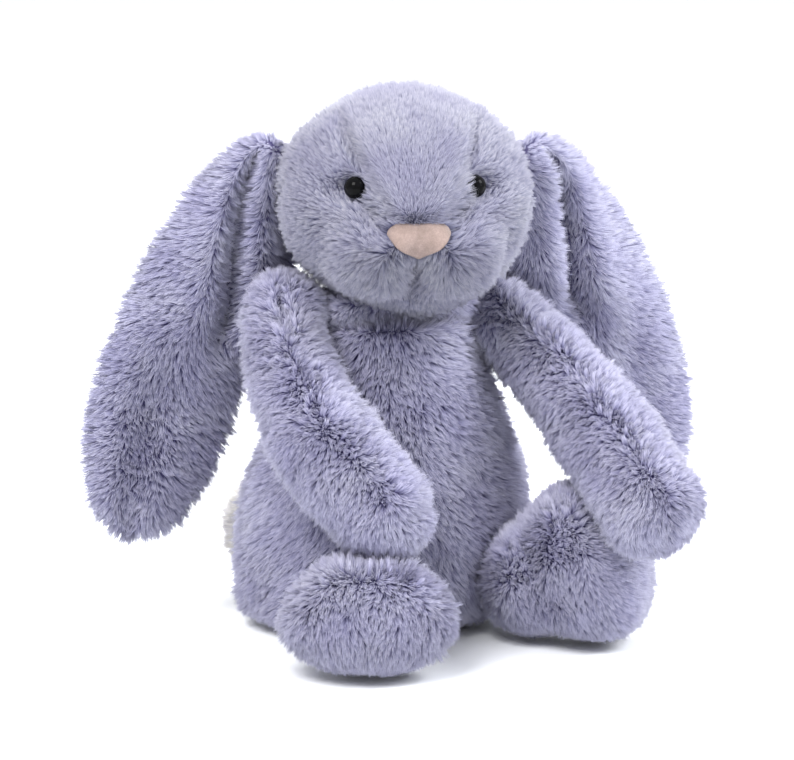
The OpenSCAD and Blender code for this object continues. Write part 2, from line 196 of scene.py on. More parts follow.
# ---- the shapes of the covers ----
def torso_shape(u, v):
    """The torso: u runs from the seat to the neck, v is the angle round it, with the front at 270."""
    outline = smooth(TORSO_OUTLINE, u)
    z = outline[..., 1]
    seams = SIDE_SEAM * bell(sind(v) / 0.035) + BACK_SEAM * bell(cosd(v) / 0.03) * (sind(v) > 0)
    lump = 1.2 * ripple(np.stack([cosd(v) * 50, sind(v) * 50, z], -1), 42, 5)
    belly = BELLY * bell((z - 42) / 30) * bell((v - 275) / 45)
    r = outline[..., 0]
    grow = lump + belly - seams
    return np.stack([
        (r * HIP_HALF_W + grow) * cosd(v) + SLUMP * sind(180 * z / NECK_Z),
        (r * HIP_HALF_D + grow) * sind(v) - LEAN * (z / NECK_Z) ** 2,
        z,
    ], -1)


def gusset_edge(t):
    """How far to the side the seam beside the forehead gusset runs, by turn t from nose to crown."""
    return 12 + 22 * sind(np.clip((t + 8) * 1.25, 0, 90))


def nose_half(up):
    """Half the nose's width, by height from its rounded point (-1) to its top edge (1)."""
    below = np.clip((0.4 - up) / 1.4, 0, 1)
    above = np.clip((up - 0.4) / 0.6, 0, 1)
    return NOSE_HALF_W * (1 - below) ** 0.8 * (1 - 0.32 * above ** 2.2)


def head_shape(t, b):
    """The head by two angles: t from the face (0) over the top (90) to the back, b out to the sides."""
    b_abs = np.abs(b)
    edge = gusset_edge(t)
    snout = MUZZLE * bell((t + 16) / 27) * bell(b / 30)

    # What stands out
    brow = BROW_FULL * (1 - fade(np.abs(t), 70, 100)) * bell((b_abs - 60) / 30)
    mound_across = fade(b_abs, 1, 16) * (1 - fade(b_abs, 27, 46))
    mound = MOUND * mound_across * fade(-t, 5, 22) * (1 - fade(-t, 42, 56))
    puff = CHEEK_PUFF * bell((t + 10) / 26) * bell((b_abs - 52) / 20)
    jaw = JAW_FULL * bell((t + 84) / 28) * bell((b - 12) / 42)
    sides = SIDE_FULL * bell((b_abs - 76) / 30)
    bridge = NOSE_BRIDGE * (1 - fade(b_abs, edge - 7, edge + 1)) * fade(t, -12, 0) * (1 - fade(t, 30, 70))
    lump = 0.5 * ripple(np.stack([t, b, 0 * t], -1), 60, 3)
    raised = brow + mound + puff + jaw + sides + bridge + lump

    # What is drawn in
    dimple = EYE_DIMPLE * bell((t - EYE_T) / 8) * bell((b_abs - EYE_B - 5) / 9)
    crease = GUSSET_CREASE * bell((b_abs - edge) / 3.5) * fade(t, 14, 24) * (1 - fade(t, 48, 80))
    beside_nose = bell((b_abs - EYE_B + 0.5 * (EYE_T - t)) / 5)
    valley = NOSE_VALLEY * beside_nose * fade(-t, -8, 4) * (1 - fade(-t, 12, 24))
    chin = CHIN_CREASE * bell(b / 4.5) * fade(-t, 27, 36) * (1 - fade(-t, 56, 66))
    grow = raised - dimple - crease - valley - chin
    local = np.stack([
        sind(b) * (HEAD_RX + grow),
        -cosd(b) * cosd(t) * (HEAD_RY + grow + snout),
        cosd(b) * sind(t) * (HEAD_RZ + grow),
    ], -1)
    return turned(local, HEAD_TURN) + HEAD_AT


def ear_half_width(u):
    """Half an ear's width: it widens from the root to its broadest place and rounds off to the tip."""
    rise = EAR_HALF_W * (0.26 + 0.74 * sind(90 * np.minimum(u / EAR_BROAD, 1)))
    drop = EAR_HALF_W * np.sqrt(np.maximum(0, 1 - ((u - EAR_BROAD) / (1.005 - EAR_BROAD)) ** 2))
    return np.where(u < EAR_BROAD, rise, drop)


def fold_at(u):
    """Where across an ear its lengthwise fold lies, from -1 at the inner edge to 1 at the outer one."""
    return np.maximum(0.55 - 1.9 * u, -0.38)


def ear_shape(line, outward):
    """An ear hanging from its root: u runs root to tip, v goes round it, front at 90 and back at 270."""
    def shape(u, v):
        along = bezier_dir(line, u)
        side = unit(np.cross(along, [0.0, 1.0, 0.0])) * outward
        front = np.cross(along, side) * outward
        s = cosd(v)
        thick = (EAR_HALF_T + 1.6 * bell((u - 0.2) / 0.3)) * np.abs(sind(v)) ** 0.8 * np.sign(sind(v))
        share = fade(u, 0.04, 0.15) * (1 - fade(u, 0.48, 0.62))
        from_fold = s - fold_at(u)
        fold = EAR_FOLD * bell(from_fold / 0.16) * share
        lobes = EAR_LOBE * (bell((from_fold - 0.45) / 0.35) + bell((from_fold + 0.42) / 0.3)) * share
        cup = EAR_CUP * bell((s - 0.15) / 0.35) * fade(u, 0.55, 0.75)
        arch = -EAR_ARCH * (s * s - 0.4) * sind(180 * u)
        wave = EAR_WAVE * ripple(np.stack([s * 20, u * 150, 0 * u], -1), 42, 8 + outward)
        closed = np.sqrt(1 - (1 - np.clip(np.minimum(u, 1 - u) / 0.05, 0, 1)) ** 2)
        inner_lobe = 1 + 0.5 * bell((u - 0.1) / 0.15) + 0.38 * bell((u - 0.34) / 0.2)
        width = ear_half_width(u) * closed * np.where(s < 0, inner_lobe, 1)
        depth = (arch + wave + thick + lobes - fold - cup) * closed
        return bezier(line, u) + side * (width * s)[..., None] + front * depth[..., None]
    return shape


def limb_shape(line, wide, tall, tip, crease_at=None, sole_seam=1.0):
    """A stuffed limb: u is 0 to 1 on the round root, 1 to 2 along it, 2 to 3 over the tip; v goes round."""
    def shape(u, v):
        t = np.clip(u - 1, 0, 1)
        lat = np.where(u < 1, 90 * (1 - u), np.where(u > 2, 90 * (u - 2), 0))
        along = bezier_dir(line, t)
        side = unit(np.cross(along, [0.0, 0.0, 1.0]))
        over = np.cross(side, along)
        seam = bell(cosd(v) / 0.12) * (1 + (sole_seam - 1) * fade(u, 1.6, 2.2))
        a = smooth(wide, t) - seam
        b = smooth(tall, t) - seam
        cap = np.where(u < 1, -smooth(wide, np.zeros_like(t)), tip) * sind(lat)
        centre = bezier(line, t) + cap[..., None] * along
        ring = side * (a * cosd(v))[..., None] + over * (b * sind(v))[..., None]
        point = centre + cosd(lat)[..., None] * ring
        lump = 0.7 * ripple(point, 26, 11)
        if crease_at is not None:
            lump = lump - PAW_CREASE * bell((u - crease_at) / 0.09) * np.maximum(0, sind(v)) ** 0.5
        return point + unit(point - centre + 1e-6 * over) * lump[..., None]
    return shape


def neck_shape(u, v):
    """The gathered neck, a soft ring: u goes round the body, v round the ring's own tube."""
    tube = NECK_TUBE_R * cosd(v)
    ring = [(NECK_HALF_W + tube) * cosd(u), (NECK_HALF_D + tube) * sind(u), NECK_TUBE_HALF_H * sind(v)]
    return NECK_AT + np.stack(ring, -1)


def tail_shape(u, v):
    """A ball: u runs from its top to its bottom, v goes round it."""
    lump = TAIL_R + 0.8 * ripple(np.stack([u * 40, cosd(v) * 20, sind(v) * 20], -1), 18, 4)
    ball = np.stack([sind(180 * u) * cosd(v), sind(180 * u) * sind(v), cosd(180 * u)], -1)
    return TAIL_AT + ball * lump[..., None]


class Patch:
    """A stretch of a shape on a grid, with its outward normals and its two directions."""

    def __init__(self, shape, u_range, v_range, steps=(72, 72), outward=1):
        self.u, self.v = np.meshgrid(
            np.linspace(*u_range, steps[0] + 1), np.linspace(*v_range, steps[1] + 1), indexing="ij"
        )
        du = (u_range[1] - u_range[0]) * 1e-3
        dv = (v_range[1] - v_range[0]) * 1e-3
        u_in = np.clip(self.u, u_range[0] + du, u_range[1] - du)
        self.point = shape(self.u, self.v)
        self.along = shape(u_in + du, self.v) - shape(u_in - du, self.v)
        self.around = shape(u_in, self.v + dv) - shape(u_in, self.v - dv)
        cross = np.cross(self.along, self.around)
        self.normal = unit(cross) * outward
        corner = self.point
        cell = np.cross(corner[1:, 1:] - corner[:-1, :-1], corner[1:, :-1] - corner[:-1, 1:])
        self.area = np.linalg.norm(cell, axis=-1) / 2
        self.along = unit(self.along)
        self.around = unit(self.around)

    def at(self, field, cell_u, cell_v, fu, fv):
        """A field's value inside a cell, by its four corners."""
        shape = (-1,) + (1,) * (field.ndim - 2)
        fu, fv = fu.reshape(shape), fv.reshape(shape)
        low = field[cell_u, cell_v] * (1 - fv) + field[cell_u, cell_v + 1] * fv
        high = field[cell_u + 1, cell_v] * (1 - fv) + field[cell_u + 1, cell_v + 1] * fv
        return low * (1 - fu) + high * fu


# ---- meshes ----
# Four triangles a lock keep a piece under 200,000 triangles
MAX_LOCKS = 49000
# Degrees from lying flat, where a flow asks for pile that stands up
STANDING = 82
# A lock's cell in its UV map is this many times as tall as it is wide
CELL_ASPECT = 6


def make_mesh(name, points, quads, tris=None):
    """An object from arrays: points in millimetres, quads and triangles as rows of indices."""
    tris = np.zeros((0, 3), int) if tris is None else tris
    mesh = bpy.data.meshes.new(name)
    mesh.vertices.add(len(points))
    mesh.vertices.foreach_set("co", (points * MM).astype(np.float32).ravel())
    corners = np.concatenate([quads.ravel(), tris.ravel()]).astype(np.int32)
    sizes = np.concatenate([np.full(len(quads), 4), np.full(len(tris), 3)])
    mesh.loops.add(len(corners))
    mesh.loops.foreach_set("vertex_index", corners)
    mesh.polygons.add(len(sizes))
    starts = np.concatenate([[0], np.cumsum(sizes)[:-1]]).astype(np.int32)
    mesh.polygons.foreach_set("loop_start", starts)
    mesh.update(calc_edges=True)
    mesh.validate()
    mesh.shade_smooth()
    piece = bpy.data.objects.new(name, mesh)
    bpy.context.scene.collection.objects.link(piece)
    return piece


def skin(name, patch, drop, material):
    """A smooth skin over a patch, lowered by drop: a backing cloth, wadding or suede."""
    rows, cols = patch.u.shape
    points = (patch.point - patch.normal * drop).reshape(-1, 3)
    points[:, 2] = np.maximum(points[:, 2], CLOTH_CLEARANCE)
    i, j = np.meshgrid(np.arange(rows - 1), np.arange(cols - 1), indexing="ij")
    a = (i * cols + j).ravel()
    piece = make_mesh(name, points, np.stack([a, a + cols, a + cols + 1, a + 1], -1))
    piece.data.materials.append(material)
    return piece


def pile(name, patch, material, look, flow, seed, trim=None):
    """Closed tapering locks of pile over a patch, combed along flow(patch), in tufts.

    Where the flow is weak the pile stands up. trim gives the share of its length that a lock keeps.
    """
    rng = np.random.default_rng(seed)
    area = patch.area.ravel()
    count = min(int(area.sum() * look["per_mm2"]), MAX_LOCKS)
    share = np.cumsum(area) / area.sum()
    cell = np.searchsorted(share, (np.arange(count) + rng.uniform(size=count)) / count)
    cell = np.minimum(cell, len(area) - 1)
    cell_u, cell_v = np.divmod(cell, patch.area.shape[1])
    fu, fv = rng.uniform(size=(2, count))

    def here(field):
        return patch.at(field, cell_u, cell_v, fu, fv)

    root = here(patch.point)
    normal = unit(here(patch.normal))
    comb = here(flow(patch))
    cut = np.ones(count) if trim is None else trim(root, here(patch.u), here(patch.v))
    keep = cut > 0.05
    root, normal, comb, cut = root[keep], normal[keep], comb[keep], cut[keep]
    count = len(root)
    comb = comb - normal * np.sum(comb * normal, -1, keepdims=True)
    upright = 1 - np.clip(np.linalg.norm(comb, axis=-1), 0, 1)
    comb = unit(comb)
    cross = np.cross(normal, comb)

    # Tufts: each lock belongs to the nearest of a few leaders and bends towards its tip
    leaders = rng.choice(count, max(1, int(count / (look["per_mm2"] * look["tuft"]))), replace=False)
    tree = KDTree(len(leaders))
    for k, leader in enumerate(leaders):
        tree.insert(root[leader], k)
    tree.balance()
    own = np.array([tree.find(p)[1] for p in root])
    swirl = 0.5 * ripple(root, look["swirl_size"], seed) + 0.25 * rng.normal(size=len(leaders))[own]
    swirl = swirl * look["swirl"] + 0.2 * rng.normal(size=count)
    comb = unit(comb * np.cos(swirl)[:, None] + cross * np.sin(swirl)[:, None])
    lift = rng.normal(size=len(leaders))[own]
    rise = np.radians(look["rise"] + (STANDING - look["rise"]) * upright)
    rise = np.clip(rise * (1 + look["uneven"] * lift + 0.1 * rng.normal(size=count)), 0.15, 1.5)
    length = look["length"] * cut * (1 + 0.12 * rng.normal(size=count) + 0.10 * lift).clip(0.5, 1.5)
    start = root - normal * look["sunk"]
    run = normal * np.sin(rise)[:, None] + comb * np.cos(rise)[:, None]
    tip = start + run * length[:, None]
    pull = look["pull"] * (1.6 * rng.uniform(size=count) ** 0.8)[:, None]
    tip = tip + (tip[leaders][own] - tip) * pull
    for end in (start, tip):
        end[:, 2] = np.maximum(end[:, 2], PILE_CLEARANCE)

    wide = look["width"] * (1 + 0.25 * rng.normal(size=count)).clip(0.5, 1.6)
    flat = unit(np.cross(tip - start, normal))
    edge = unit(np.cross(tip - start, flat))
    roll = rng.uniform(0, 2 * math.pi, count)
    spokes = []
    for k in range(3):
        angle = roll + k * 2 * math.pi / 3
        spokes.append(flat * np.cos(angle)[:, None] + edge * np.sin(angle)[:, None])
    points = np.stack([start + spoke * wide[:, None] / 2 for spoke in spokes] + [tip], 1)
    base = np.arange(count)[:, None] * 4
    tris = np.concatenate([base + [0, 1, 3], base + [1, 2, 3], base + [2, 0, 3], base + [2, 1, 0]])
    piece = make_mesh(name, points.reshape(-1, 3), np.zeros((0, 4), int), tris)

    # Soft shading: each lock takes most of its normal from the cover under it
    soft = np.stack(spokes + [normal], 1) * look["crisp"] + normal[:, None] * 0.75 + comb[:, None] * 0.12
    piece.data.normals_split_custom_set_from_vertices(unit(soft).reshape(-1, 3))
    along = np.tile([0, 0, 0, 1.0], (count, 1))
    shade = np.repeat(0.5 + 0.5 * np.tanh(lift)[:, None], 4, 1)
    grain = np.repeat(rng.uniform(size=(count, 1)), 4, 1)
    paint = piece.data.attributes.new("pile", "FLOAT_VECTOR", "POINT")
    paint.data.foreach_set("vector", np.stack([along, shade, grain], -1).astype(np.float32).ravel())
    lock_map(piece, count)
    piece.data.materials.append(material)
    return piece


def lock_map(piece, count):
    """A UV map that gives each lock its own narrow cell, so that nothing else has to unwrap it."""
    columns = int(math.ceil(math.sqrt(count * CELL_ASPECT)))
    rows = int(math.ceil(count / columns))
    lock = np.arange(count)
    left = (lock % columns) / columns
    low = (lock // columns) / rows
    across = np.array([0.15, 0.5, 0.85, 0.5]) / columns
    up = np.array([0.05, 0.05, 0.05, 0.95]) / rows
    cell = np.stack([left[:, None] + across, low[:, None] + up], -1).reshape(-1, 2)
    corners = np.zeros(len(piece.data.loops), np.int32)
    piece.data.loops.foreach_get("vertex_index", corners)
    layer = piece.data.uv_layers.new(name="OFBake")
    layer.data.foreach_set("uv", cell[corners].astype(np.float32).ravel())


# ---- materials ----
def new_material(name):
    """A node material: its tree, its shader and a function that adds linked nodes."""
    material = bpy.data.materials.new(name)
    material.use_nodes = True
    tree = material.node_tree
    shader = tree.nodes["Principled BSDF"]

    def node(kind, links=(), **values):
        made = tree.nodes.new("ShaderNode" + kind)
        for key, value in values.items():
            if hasattr(made, key):
                setattr(made, key, value)
            else:
                made.inputs[key.replace("_", " ")].default_value = value
        for socket, source in dict(links).items():
            tree.links.new(source, made.inputs[socket])
        return made

    def link(source, socket):
        tree.links.new(source, shader.inputs[socket])

    return material, shader, node, link


def ramp(node, source, stops):
    """A colour ramp on a source socket, from (position, colour) stops."""
    made = node("ValToRGB", {"Fac": source})
    elements = made.color_ramp.elements
    while len(elements) < len(stops):
        elements.new(0.5)
    for element, (position, colour) in zip(elements, stops):
        element.position = position
        element.color = (*colour, 1)
    return made.outputs["Color"]


def mixed(node, kind, factor, a, b):
    """Two colours mixed; factor is a number or a socket."""
    made = node("Mix", data_type="RGBA", blend_type=kind)
    tree = made.id_data
    for socket, value in ((made.inputs[0], factor), (made.inputs[6], a), (made.inputs[7], b)):
        if isinstance(value, bpy.types.NodeSocket):
            tree.links.new(value, socket)
        elif isinstance(value, tuple):
            socket.default_value = (*value, 1)
        else:
            socket.default_value = value
    return made.outputs[2]


def pile_material(name, root, body, tip, roughness=0.82):
    """Pile that runs from dark at the root to pale at the tip, with each lock its own tint: the dark roots
    are painted shade of the pile's depths, and the pale tips are painted light where the hair glows.
    """
    material, shader, node, link = new_material(name)
    pile_data = node("Attribute", attribute_name="pile")
    parts = node("SeparateXYZ", {"Vector": pile_data.outputs["Vector"]})
    # Along each lock: painted shade at its root, painted light at its tip
    colour = ramp(node, parts.outputs["X"], [(0.0, root), (0.5, body), (1.0, tip)])
    place = node("TexCoord").outputs["Object"]
    cloud = node("TexNoise", {"Vector": place}, Scale=55.0, Detail=3.0)
    cloudy = ramp(node, cloud.outputs["Fac"], [(0.3, (0.84, 0.83, 0.90)), (0.7, (1.10, 1.10, 1.06))])
    colour = mixed(node, "MULTIPLY", 1.0, colour, cloudy)
    grain = ramp(node, parts.outputs["Z"], [(0.0, (0.80, 0.80, 0.86)), (1.0, (1.16, 1.15, 1.10))])
    colour = mixed(node, "MULTIPLY", 1.0, colour, grain)
    link(colour, "Base Color")
    shader.inputs["Roughness"].default_value = roughness
    shader.inputs["Specular IOR Level"].default_value = 0.18
    shader.inputs["Sheen Weight"].default_value = 0.25
    shader.inputs["Sheen Roughness"].default_value = 0.45
    shader.inputs["Sheen Tint"].default_value = (0.86, 0.86, 1.0, 1)
    return material


def backing_material(name, dark, light):
    """The knitted backing between the locks, mottled, with a fine bump: a real cloth, whose dark tone is
    painted shade of the gaps between the locks.
    """
    material, shader, node, link = new_material(name)
    place = node("TexCoord").outputs["Object"]
    mottle = node("TexNoise", {"Vector": place}, Scale=260.0, Detail=4.0)
    link(ramp(node, mottle.outputs["Fac"], [(0.35, dark), (0.7, light)]), "Base Color")
    knit = node("TexVoronoi", {"Vector": place}, Scale=900.0)
    bump = node("Bump", {"Height": knit.outputs["Distance"]}, Strength=0.5, Distance=0.0006)
    link(bump.outputs["Normal"], "Normal")
    shader.inputs["Roughness"].default_value = 0.95
    shader.inputs["Specular IOR Level"].default_value = 0.1
    return material


def suede_material(name):
    """Peach suede with a fine brushed nap."""
    material, shader, node, link = new_material(name)
    place = node("TexCoord").outputs["Object"]
    brushed = node("TexNoise", {"Vector": place}, Scale=240.0, Detail=5.0, Roughness=0.65)
    fine = node("TexNoise", {"Vector": place}, Scale=1900.0, Detail=3.0, Roughness=0.7)
    tone = ramp(node, brushed.outputs["Fac"], [(0.3, (0.20, 0.15, 0.13)), (0.7, (0.29, 0.22, 0.20))])
    speck = ramp(node, fine.outputs["Fac"], [(0.3, (0.86, 0.84, 0.84)), (0.7, (1.10, 1.10, 1.10))])
    link(mixed(node, "MULTIPLY", 1.0, tone, speck), "Base Color")
    rough = node("MapRange", {"Value": brushed.outputs["Fac"]})
    rough.inputs["To Min"].default_value = 0.75
    rough.inputs["To Max"].default_value = 0.95
    link(rough.outputs["Result"], "Roughness")
    bump = node("Bump", {"Height": fine.outputs["Fac"]}, Strength=0.6, Distance=0.0003)
    link(bump.outputs["Normal"], "Normal")
    shader.inputs["Sheen Weight"].default_value = 0.3
    shader.inputs["Specular IOR Level"].default_value = 0.2
    return material


def eye_material(name):
    """Polished black plastic with the faint waviness of a moulded dome."""
    material, shader, node, link = new_material(name)
    place = node("TexCoord").outputs["Object"]
    cloud = node("TexNoise", {"Vector": place}, Scale=500.0, Detail=2.0)
    black = ramp(node, cloud.outputs["Fac"], [(0.3, (0.002, 0.002, 0.002)), (0.7, (0.004, 0.004, 0.005))])
    link(black, "Base Color")
    rough = node("MapRange", {"Value": cloud.outputs["Fac"]})
    rough.inputs["To Min"].default_value = 0.04
    rough.inputs["To Max"].default_value = 0.09
    link(rough.outputs["Result"], "Roughness")
    shader.inputs["Specular IOR Level"].default_value = 0.05
    return material


def plain_material(name, dark, light, scale, roughness, bump_mm):
    """A quiet mottled material for the pieces inside the toy."""
    material, shader, node, link = new_material(name)
    place = node("TexCoord").outputs["Object"]
    cloud = node("TexNoise", {"Vector": place}, Scale=scale, Detail=4.0)
    link(ramp(node, cloud.outputs["Fac"], [(0.3, dark), (0.7, light)]), "Base Color")
    bump = node("Bump", {"Height": cloud.outputs["Fac"]}, Strength=0.5, Distance=bump_mm * MM)
    link(bump.outputs["Normal"], "Normal")
    shader.inputs["Roughness"].default_value = roughness
    return material


# Each pile's first colour is painted shade at the locks' roots, and its last is painted light at their tips
BODY_PILE = pile_material("body_pile", (0.085, 0.08, 0.175), (0.32, 0.32, 0.46), (0.54, 0.54, 0.69))
# The ears' pile is the body's pile made paler towards the tips: painted light where the ears glow with light
# from behind
EAR_PILE_PAINTED_GLOW = pile_material("ear_pile", (0.085, 0.08, 0.18), (0.33, 0.33, 0.48), (0.58, 0.58, 0.74))
FACE_PILE = pile_material("face_pile", (0.075, 0.075, 0.15), (0.235, 0.24, 0.325), (0.40, 0.40, 0.48))
TAIL_PILE = pile_material("tail_pile", (0.55, 0.53, 0.46), (0.82, 0.80, 0.74), (0.95, 0.94, 0.90))
# The backings are much darker than their pile: painted shade where they show between the locks
BODY_BACKING = backing_material("body_backing", (0.06, 0.055, 0.13), (0.11, 0.10, 0.20))
FACE_BACKING = backing_material("face_backing", (0.10, 0.10, 0.17), (0.16, 0.16, 0.24))
TAIL_BACKING = backing_material("tail_backing", (0.45, 0.43, 0.37), (0.62, 0.60, 0.53))
CAD_MATERIALS = {
    "suede": suede_material("nose_suede"),
    "gloss_black": eye_material("eye_black"),
    "washer_plastic": plain_material(
        "washer_plastic", (0.62, 0.62, 0.60), (0.76, 0.76, 0.73), 300, 0.5, 0.05
    ),
    "stuffing": plain_material("wadding", (0.74, 0.74, 0.72), (0.92, 0.92, 0.90), 180, 0.95, 1.5),
    "bag_cloth": plain_material("calico", (0.55, 0.50, 0.40), (0.70, 0.65, 0.54), 900, 0.9, 0.2),
    "beans": plain_material("pellets", (0.55, 0.55, 0.55), (0.75, 0.75, 0.75), 400, 0.5, 0.8),
    "thread": plain_material("thread", (0.10, 0.10, 0.20), (0.18, 0.18, 0.32), 1500, 0.85, 0.1),
    "plush": BODY_BACKING,
    "face_plush": FACE_BACKING,
    "cream_plush": TAIL_BACKING,
}

# How each coat looks. Length, width and sunk are in millimetres, sunk being how far under the surface a
# lock starts. Rise is degrees from lying flat. Tuft is a tuft's area in square millimetres, and pull is how
# far its locks lean together. Swirl turns the combing, in lumps of swirl_size. Uneven varies the rise, and
# crisp is how much of a lock's own shape its shading shows.
COAT = {
    "per_mm2": 5.5, "length": 6.2, "width": 0.42, "rise": 48, "sunk": 2.2, "tuft": 2.6, "pull": 0.42,
    "swirl": 0.6, "swirl_size": 17, "uneven": 0.17, "crisp": 0.4,
}
LIMB_COAT = {**COAT, "length": 5.6, "per_mm2": 6.5, "tuft": 2.2}
FACE_COAT = {
    **COAT, "per_mm2": 8.5, "length": 5.2, "width": 0.36, "rise": 56, "sunk": 1.8, "tuft": 2.0,
    "pull": 0.55, "swirl": 0.4, "swirl_size": 24, "uneven": 0.24, "crisp": 0.45,
}
BROW_COAT = {**FACE_COAT, "pull": 0.22, "uneven": 0.1}
NECK_COAT = {**COAT, "length": 5.0}
TAIL_COAT = {**COAT, "per_mm2": 8.0, "length": 8.0, "rise": 60, "pull": 0.35, "swirl": 1.5}


# ---- the way the pile is combed ----
def downwards(patch):
    """Down the body, spreading a little away from the middle of the front."""
    down = np.stack([patch.point[..., 0] / 70, 0 * patch.u, -0.8 + 0 * patch.u], -1)
    return down - patch.normal * np.sum(down * patch.normal, -1, keepdims=True)


def from_nose(patch):
    """Away from the nose over the whole head; the pile stands up round the nose's own edge."""
    offset = patch.point - NOSE_AT
    away = unit(offset)
    away = unit(away - patch.normal * np.sum(away * patch.normal, -1, keepdims=True))
    return away * (0.35 + 0.65 * fade(np.linalg.norm(offset, axis=-1), 12, 30))[..., None]


def parted(along_share, around_share):
    """Towards the tip of a limb, parted along its upper side, where the pile stands up."""
    def flow(patch):
        wander = 0.28 * ripple(patch.point, 40, 14)
        out = np.tanh((cosd(patch.v) + wander) / 0.7)
        on = along_share * (0.3 + 0.7 * np.abs(out))
        return patch.along * on[..., None] - patch.around * (around_share * out)[..., None]
    return flow


def over_foot(patch):
    """Along the leg, and down over the sole."""
    sole = fade(patch.u, 1.7, 2.2)[..., None]
    down = np.array([0.0, 0.0, -0.8]) + 0.45 * patch.along
    return parted(0.7, 0.6)(patch) * (1 - sole) + down * sole


def ear_flow(patch):
    """Down the ear and out to both edges of each lobe, from a parting along its middle."""
    s = cosd(patch.v) + 0.08 * ripple(patch.point, 30, 15)
    fold = fold_at(patch.u)
    split = 1 - fade(patch.u, 0.48, 0.66)
    outer_lobe = np.tanh((s - fold - 0.04) / 0.6)
    inner_lobe = np.tanh((s + 1 - 0.35 * (fold + 1)) / 0.3)
    in_front = np.where(s > fold, outer_lobe, inner_lobe) * split + np.tanh((s + 0.1) / 0.5) * (1 - split)
    sway = np.where(sind(patch.v) >= 0, -in_front, np.tanh(s / 0.5))
    return patch.along * 0.6 + patch.around * (0.75 * sway)[..., None]


def neck_flow(patch):
    """Outwards and down from the gathered ring."""
    return 0.8 * unit(patch.point - NECK_PILE_FROM)


def outwards(patch):
    """From the root of the tail to all sides."""
    return 0.5 * unit(patch.point - TAIL_PILE_FROM)


# ---- how short the pile is cut: each gives the share that is left, from a lock's root and its u and v ----
def middle_of(node):
    """The middle of a CAD node's box, in millimetres."""
    low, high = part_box(node)
    return (np.array(low) + np.array(high)) / 2 / MM


NOSE_AT = middle_of("nose_patch")


def in_head(points):
    """Points as the head has them: x to its left, -y ahead, z up, from its middle."""
    return turned(points - HEAD_AT, -HEAD_TURN)


def face_trim(root, u, v):
    """Bare under the nose, short outside the eyes, long inside them and on the muzzle."""
    place = in_head(root)
    nose = in_head(NOSE_AT)
    ahead = place[:, 1] < -20
    up = (u - NOSE_T) / NOSE_DROP
    bare = ahead & (np.abs(up) < 0.9) & (np.abs(place[:, 0]) < nose_half(up) - 0.6)
    side = np.abs(place[:, 0])
    muzzle = bell((side - 16) / 13) * bell((place[:, 2] - nose[2] + 8) / 15) * ahead
    by_eye = bell(np.hypot(side - 27, place[:, 2] - 7) / 7) * ahead
    lash = bell(np.hypot(side - 16, (place[:, 2] - 5) / 1.7) / 4.5) * ahead
    lash = lash * np.where(place[:, 0] > 0, 0.75, 0.25)
    chin = bell((place[:, 2] + 44) / 10) * bell(place[:, 0] / 30)
    return np.where(bare, 0, 0.78 + 0.75 * muzzle + lash - 0.3 * by_eye - 0.2 * chin)


def pressed(root, u, v):
    """Pressed short near the floor."""
    return 0.4 + 0.6 * fade(root[:, 2], 1, 13)


def ear_trim(root, u, v):
    """Shorter at the root of an ear and in its fold, so that the fold stays open."""
    in_fold = bell((cosd(v) - fold_at(u)) / 0.12) * (1 - fade(u, 0.45, 0.6)) * (sind(v) > 0)
    edge = 0.3 * fade(np.abs(cosd(v)), 0.75, 1)
    return (1 - 0.5 * in_fold + edge) * (0.5 + 0.5 * fade(u, 0, 0.12))


# ---- pieces ----
SLOTS = {entry["node"]: entry["material_slot"] for entry in frame["record"]["subparts"]}


def stand_for(piece, node, body):
    """Puts a piece in the place of a CAD node and on its body."""
    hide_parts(node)
    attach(piece, body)


def cover(node, body, shape, u_range, v_range, outward, material, look, flow, seed, steps=(72, 72),
          trim=None, ending=""):
    """The pile of one sewn panel, which stands for its CAD node."""
    patch = Patch(shape, u_range, v_range, steps, outward)
    coat = pile(node + ending + "_pile", patch, material, look, flow, seed, trim)
    stand_for(coat, node, body)


def backing(name, body, shape, u_range, v_range, outward, drop, material, steps=(80, 80)):
    """The backing cloth of a whole limb, ear, head or torso."""
    cloth = skin(name, Patch(shape, u_range, v_range, steps, outward), drop, material)
    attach(cloth, body)


# ---- the CAD nodes that stay ----
for node, slot in SLOTS.items():
    cad_piece = frame["nodes"][node]
    cad_piece.data.materials.clear()
    cad_piece.data.materials.append(CAD_MATERIALS[slot])

# ---- torso and tail ----
backing("torso_backing", "torso", torso_shape, (0, 1), (0, 360), -1, BACKING_DROP, BODY_BACKING, (60, 120))
for node, side, v_range, seed in (
    ("torso_front", "_left", (270, 360), 21), ("torso_front", "_right", (180, 270), 25),
    ("torso_back_left", "", (0, 90), 22), ("torso_back_right", "", (90, 180), 23),
):
    cover(
        node, "torso", torso_shape, (0, 1), v_range, -1, BODY_PILE, COAT, downwards, seed,
        trim=pressed, ending=side,
    )
cover("tail_cover", "torso", tail_shape, (0.01, 0.99), (0, 360), 1, TAIL_PILE, TAIL_COAT, outwards, 24)

# ---- neck ----
backing("neck_backing", "neck", neck_shape, (0, 360), (0, 360), 1, NECK_BACKING_DROP, BODY_BACKING, (60, 24))
cover("neck_seam", "neck", neck_shape, (0, 360), (0, 360), 1, BODY_PILE, NECK_COAT, neck_flow, 27, (90, 24))

# ---- head ----
backing(
    "head_backing", "head", head_shape, (-90, 270), (-POLE, POLE), -1, BACKING_DROP, FACE_BACKING, (160, 90)
)

